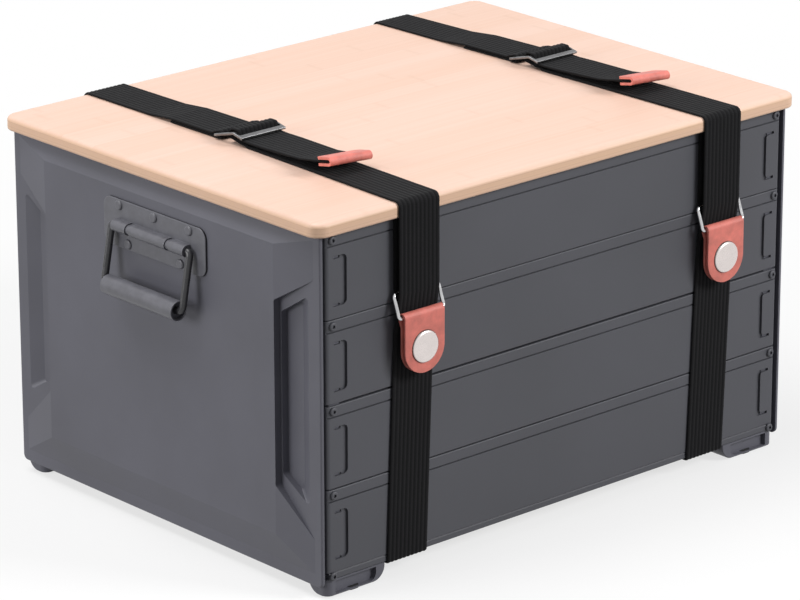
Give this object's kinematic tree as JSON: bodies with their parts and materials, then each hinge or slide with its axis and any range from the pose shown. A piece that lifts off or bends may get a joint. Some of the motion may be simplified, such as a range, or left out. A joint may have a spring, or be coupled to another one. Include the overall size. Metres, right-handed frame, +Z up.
{
  "type": "camping storage box",
  "caption": "Camping storage box with plank walls, moulded ends, a loose board lid, elastic straps with snap tabs and drop handles.",
  "frame": {"origin": "on the floor, under the middle of the whole footprint, handles and snap caps included", "axes": "+X along the box towards its right end, +Y to the back, +Z up"},
  "size_m": [0.5724, 0.408, 0.3293],
  "materials": {
    "moulded_grey": "satin moulded",
    "painted_grey": "satin powder coat",
    "pad_rubber": "matte",
    "floor_board": "plain board",
    "bamboo": "fine straight grain, lightly oiled",
    "screw_steel": "plated",
    "grey_enamel": "semi-gloss grey",
    "leather": "smooth, dyed",
    "webbing": "ribbed elastic",
    "grey_metal": "dark nickel",
    "ring_wire": "polished wire",
    "nickel": "polished nickel"
  },
  "bodies": {
    "box": {"end_panel_left": "moulded_grey", "end_panel_right": "moulded_grey", "front_plank_1": "painted_grey", "front_plank_2": "painted_grey", "front_plank_3": "painted_grey", "front_plank_4": "painted_grey", "back_plank_1": "painted_grey", "back_plank_2": "painted_grey", "back_plank_3": "painted_grey", "back_plank_4": "painted_grey", "front_rail": "painted_grey", "back_rail": "painted_grey", "floor_panel": "floor_board", "front_screws": "screw_steel", "back_screws": "screw_steel", "foot_front_left": "moulded_grey", "foot_front_right": "moulded_grey", "foot_back_left": "moulded_grey", "foot_back_right": "moulded_grey", "foot_pads": "pad_rubber", "handle_plate_left": "grey_enamel", "handle_rivets_left": "grey_enamel", "strap_front_upper_left": "webbing", "strap_rear_upper_left": "webbing", "strap_under_left": "webbing", "keeper_web_left": "webbing", "handle_plate_right": "grey_enamel", "handle_rivets_right": "grey_enamel", "strap_front_upper_right": "webbing", "strap_rear_upper_right": "webbing", "strap_under_right": "webbing", "keeper_web_right": "webbing", "snap_studs": "nickel", "keeper_rivets": "screw_steel"},
    "lid": {"lid_board": "bamboo", "lid_batten_left": "bamboo", "lid_batten_right": "bamboo", "batten_screws": "screw_steel", "strap_front_top_left": "webbing", "strap_rear_top_left": "webbing", "tri_glide_left": "grey_metal", "strap_tip_left": "leather", "strap_front_top_right": "webbing", "strap_rear_top_right": "webbing", "tri_glide_right": "grey_metal", "strap_tip_right": "leather"},
    "bail_left": {"bail_left": "grey_enamel"},
    "grip_left": {"grip_left": "grey_enamel"},
    "ring_left": {"ring_left": "ring_wire"},
    "tab_left": {"leather_tab_left": "leather", "snap_cap_left": "nickel", "snap_socket_left": "nickel"},
    "bail_right": {"bail_right": "grey_enamel"},
    "grip_right": {"grip_right": "grey_enamel"},
    "ring_right": {"ring_right": "ring_wire"},
    "tab_right": {"leather_tab_right": "leather", "snap_cap_right": "nickel", "snap_socket_right": "nickel"}
  },
  "joints": [
    {"name": "lid_lift", "type": "slide", "parent": "box", "child": "lid", "axis": [0, 0, 1], "range_m": [0, 0.12], "deforming": ["strap_front_upper_left", "strap_front_upper_right", "strap_rear_upper_left", "strap_rear_upper_right"]},
    {"name": "bail_left_swing", "type": "hinge", "parent": "box", "child": "bail_left", "pos_m": [-0.269, 0.00398, 0.256], "axis": [0, 1, 0], "range_deg": [0, 95]},
    {"name": "grip_left_spin", "type": "hinge", "parent": "bail_left", "child": "grip_left", "pos_m": [-0.278, 0.00398, 0.208], "axis": [0, 1, 0], "continuous": true},
    {"name": "bail_right_swing", "type": "hinge", "parent": "box", "child": "bail_right", "pos_m": [0.269, 0.00398, 0.256], "axis": [0, -1, 0], "range_deg": [0, 95]},
    {"name": "grip_right_spin", "type": "hinge", "parent": "bail_right", "child": "grip_right", "pos_m": [0.278, 0.00398, 0.208], "axis": [0, 1, 0], "continuous": true},
    {"name": "ring_left_swing", "type": "hinge", "parent": "box", "child": "ring_left", "pos_m": [-0.161, -0.19093, 0.2385], "axis": [-1, 0, 0], "range_deg": [0, 60]},
    {"name": "tab_left_swing", "type": "hinge", "parent": "ring_left", "child": "tab_left", "pos_m": [-0.161, -0.19783, 0.2198], "axis": [-1, 0, 0], "range_deg": [0, 90]},
    {"name": "ring_right_swing", "type": "hinge", "parent": "box", "child": "ring_right", "pos_m": [0.1748, -0.19093, 0.236], "axis": [-1, 0, 0], "range_deg": [0, 60]},
    {"name": "tab_right_swing", "type": "hinge", "parent": "ring_right", "child": "tab_right", "pos_m": [0.1748, -0.19783, 0.2173], "axis": [-1, 0, 0], "range_deg": [0, 90]}
  ]
}
